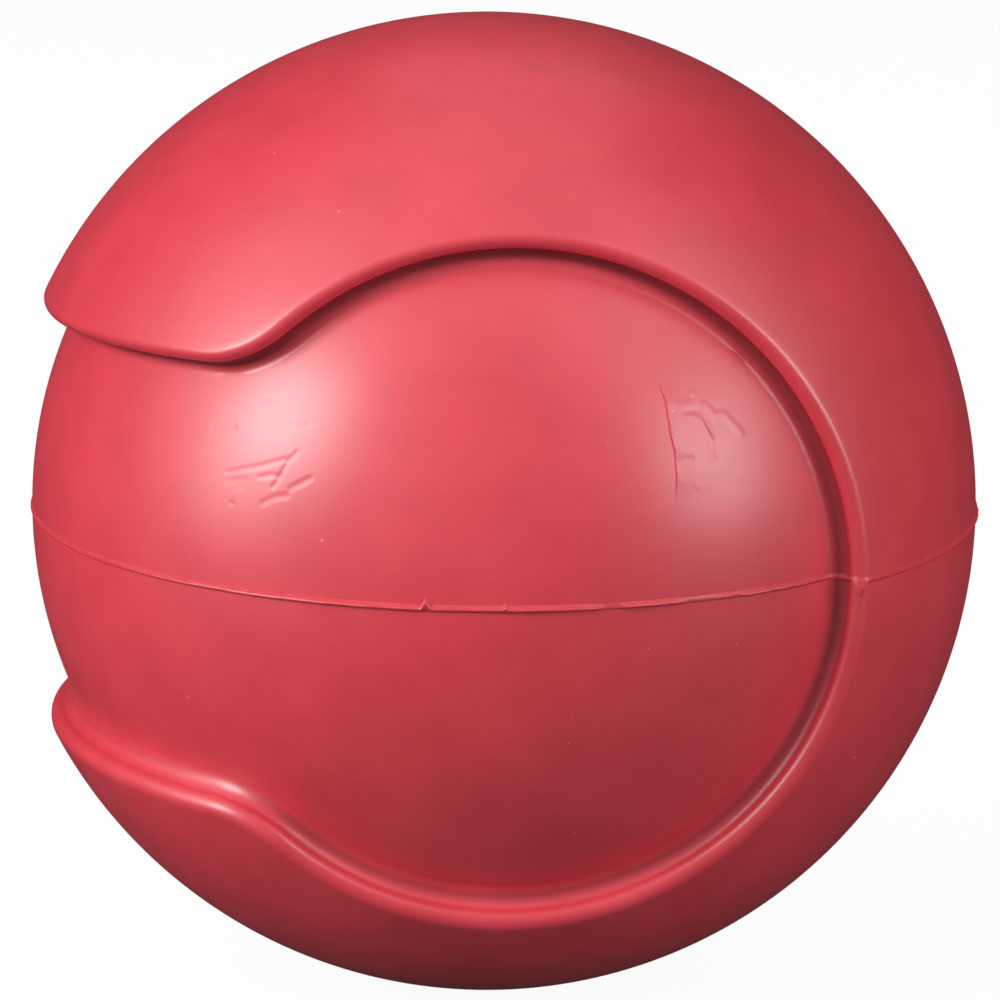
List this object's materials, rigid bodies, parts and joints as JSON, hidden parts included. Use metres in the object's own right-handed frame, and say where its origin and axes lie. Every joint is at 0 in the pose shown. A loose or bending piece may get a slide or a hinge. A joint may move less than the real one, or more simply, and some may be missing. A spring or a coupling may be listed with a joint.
{
  "type": "dog ball",
  "caption": "Hollow moulded rubber ball for a dog, with a raised panel and a recessed panel that wrap round each other like a baseball's covers, and a glued parting joint.",
  "frame": {"origin": "centre of the ball, in the plane of the parting joint", "axes": "+Z square to the parting joint, up in the picture; +X from the centre towards the middle of the raised waist; +Y away from the recessed round end that faces the camera"},
  "size_m": [0.0708, 0.0682, 0.073],
  "materials": {
    "moulded_rubber": "satin, as moulded, red all through",
    "rubber_cement": "satin, cured red rubber cement"
  },
  "bodies": {
    "root": {"upper_half_shell": "moulded_rubber", "lower_half_shell": "moulded_rubber", "bond_ring": "rubber_cement"}
  },
  "joints": []
}
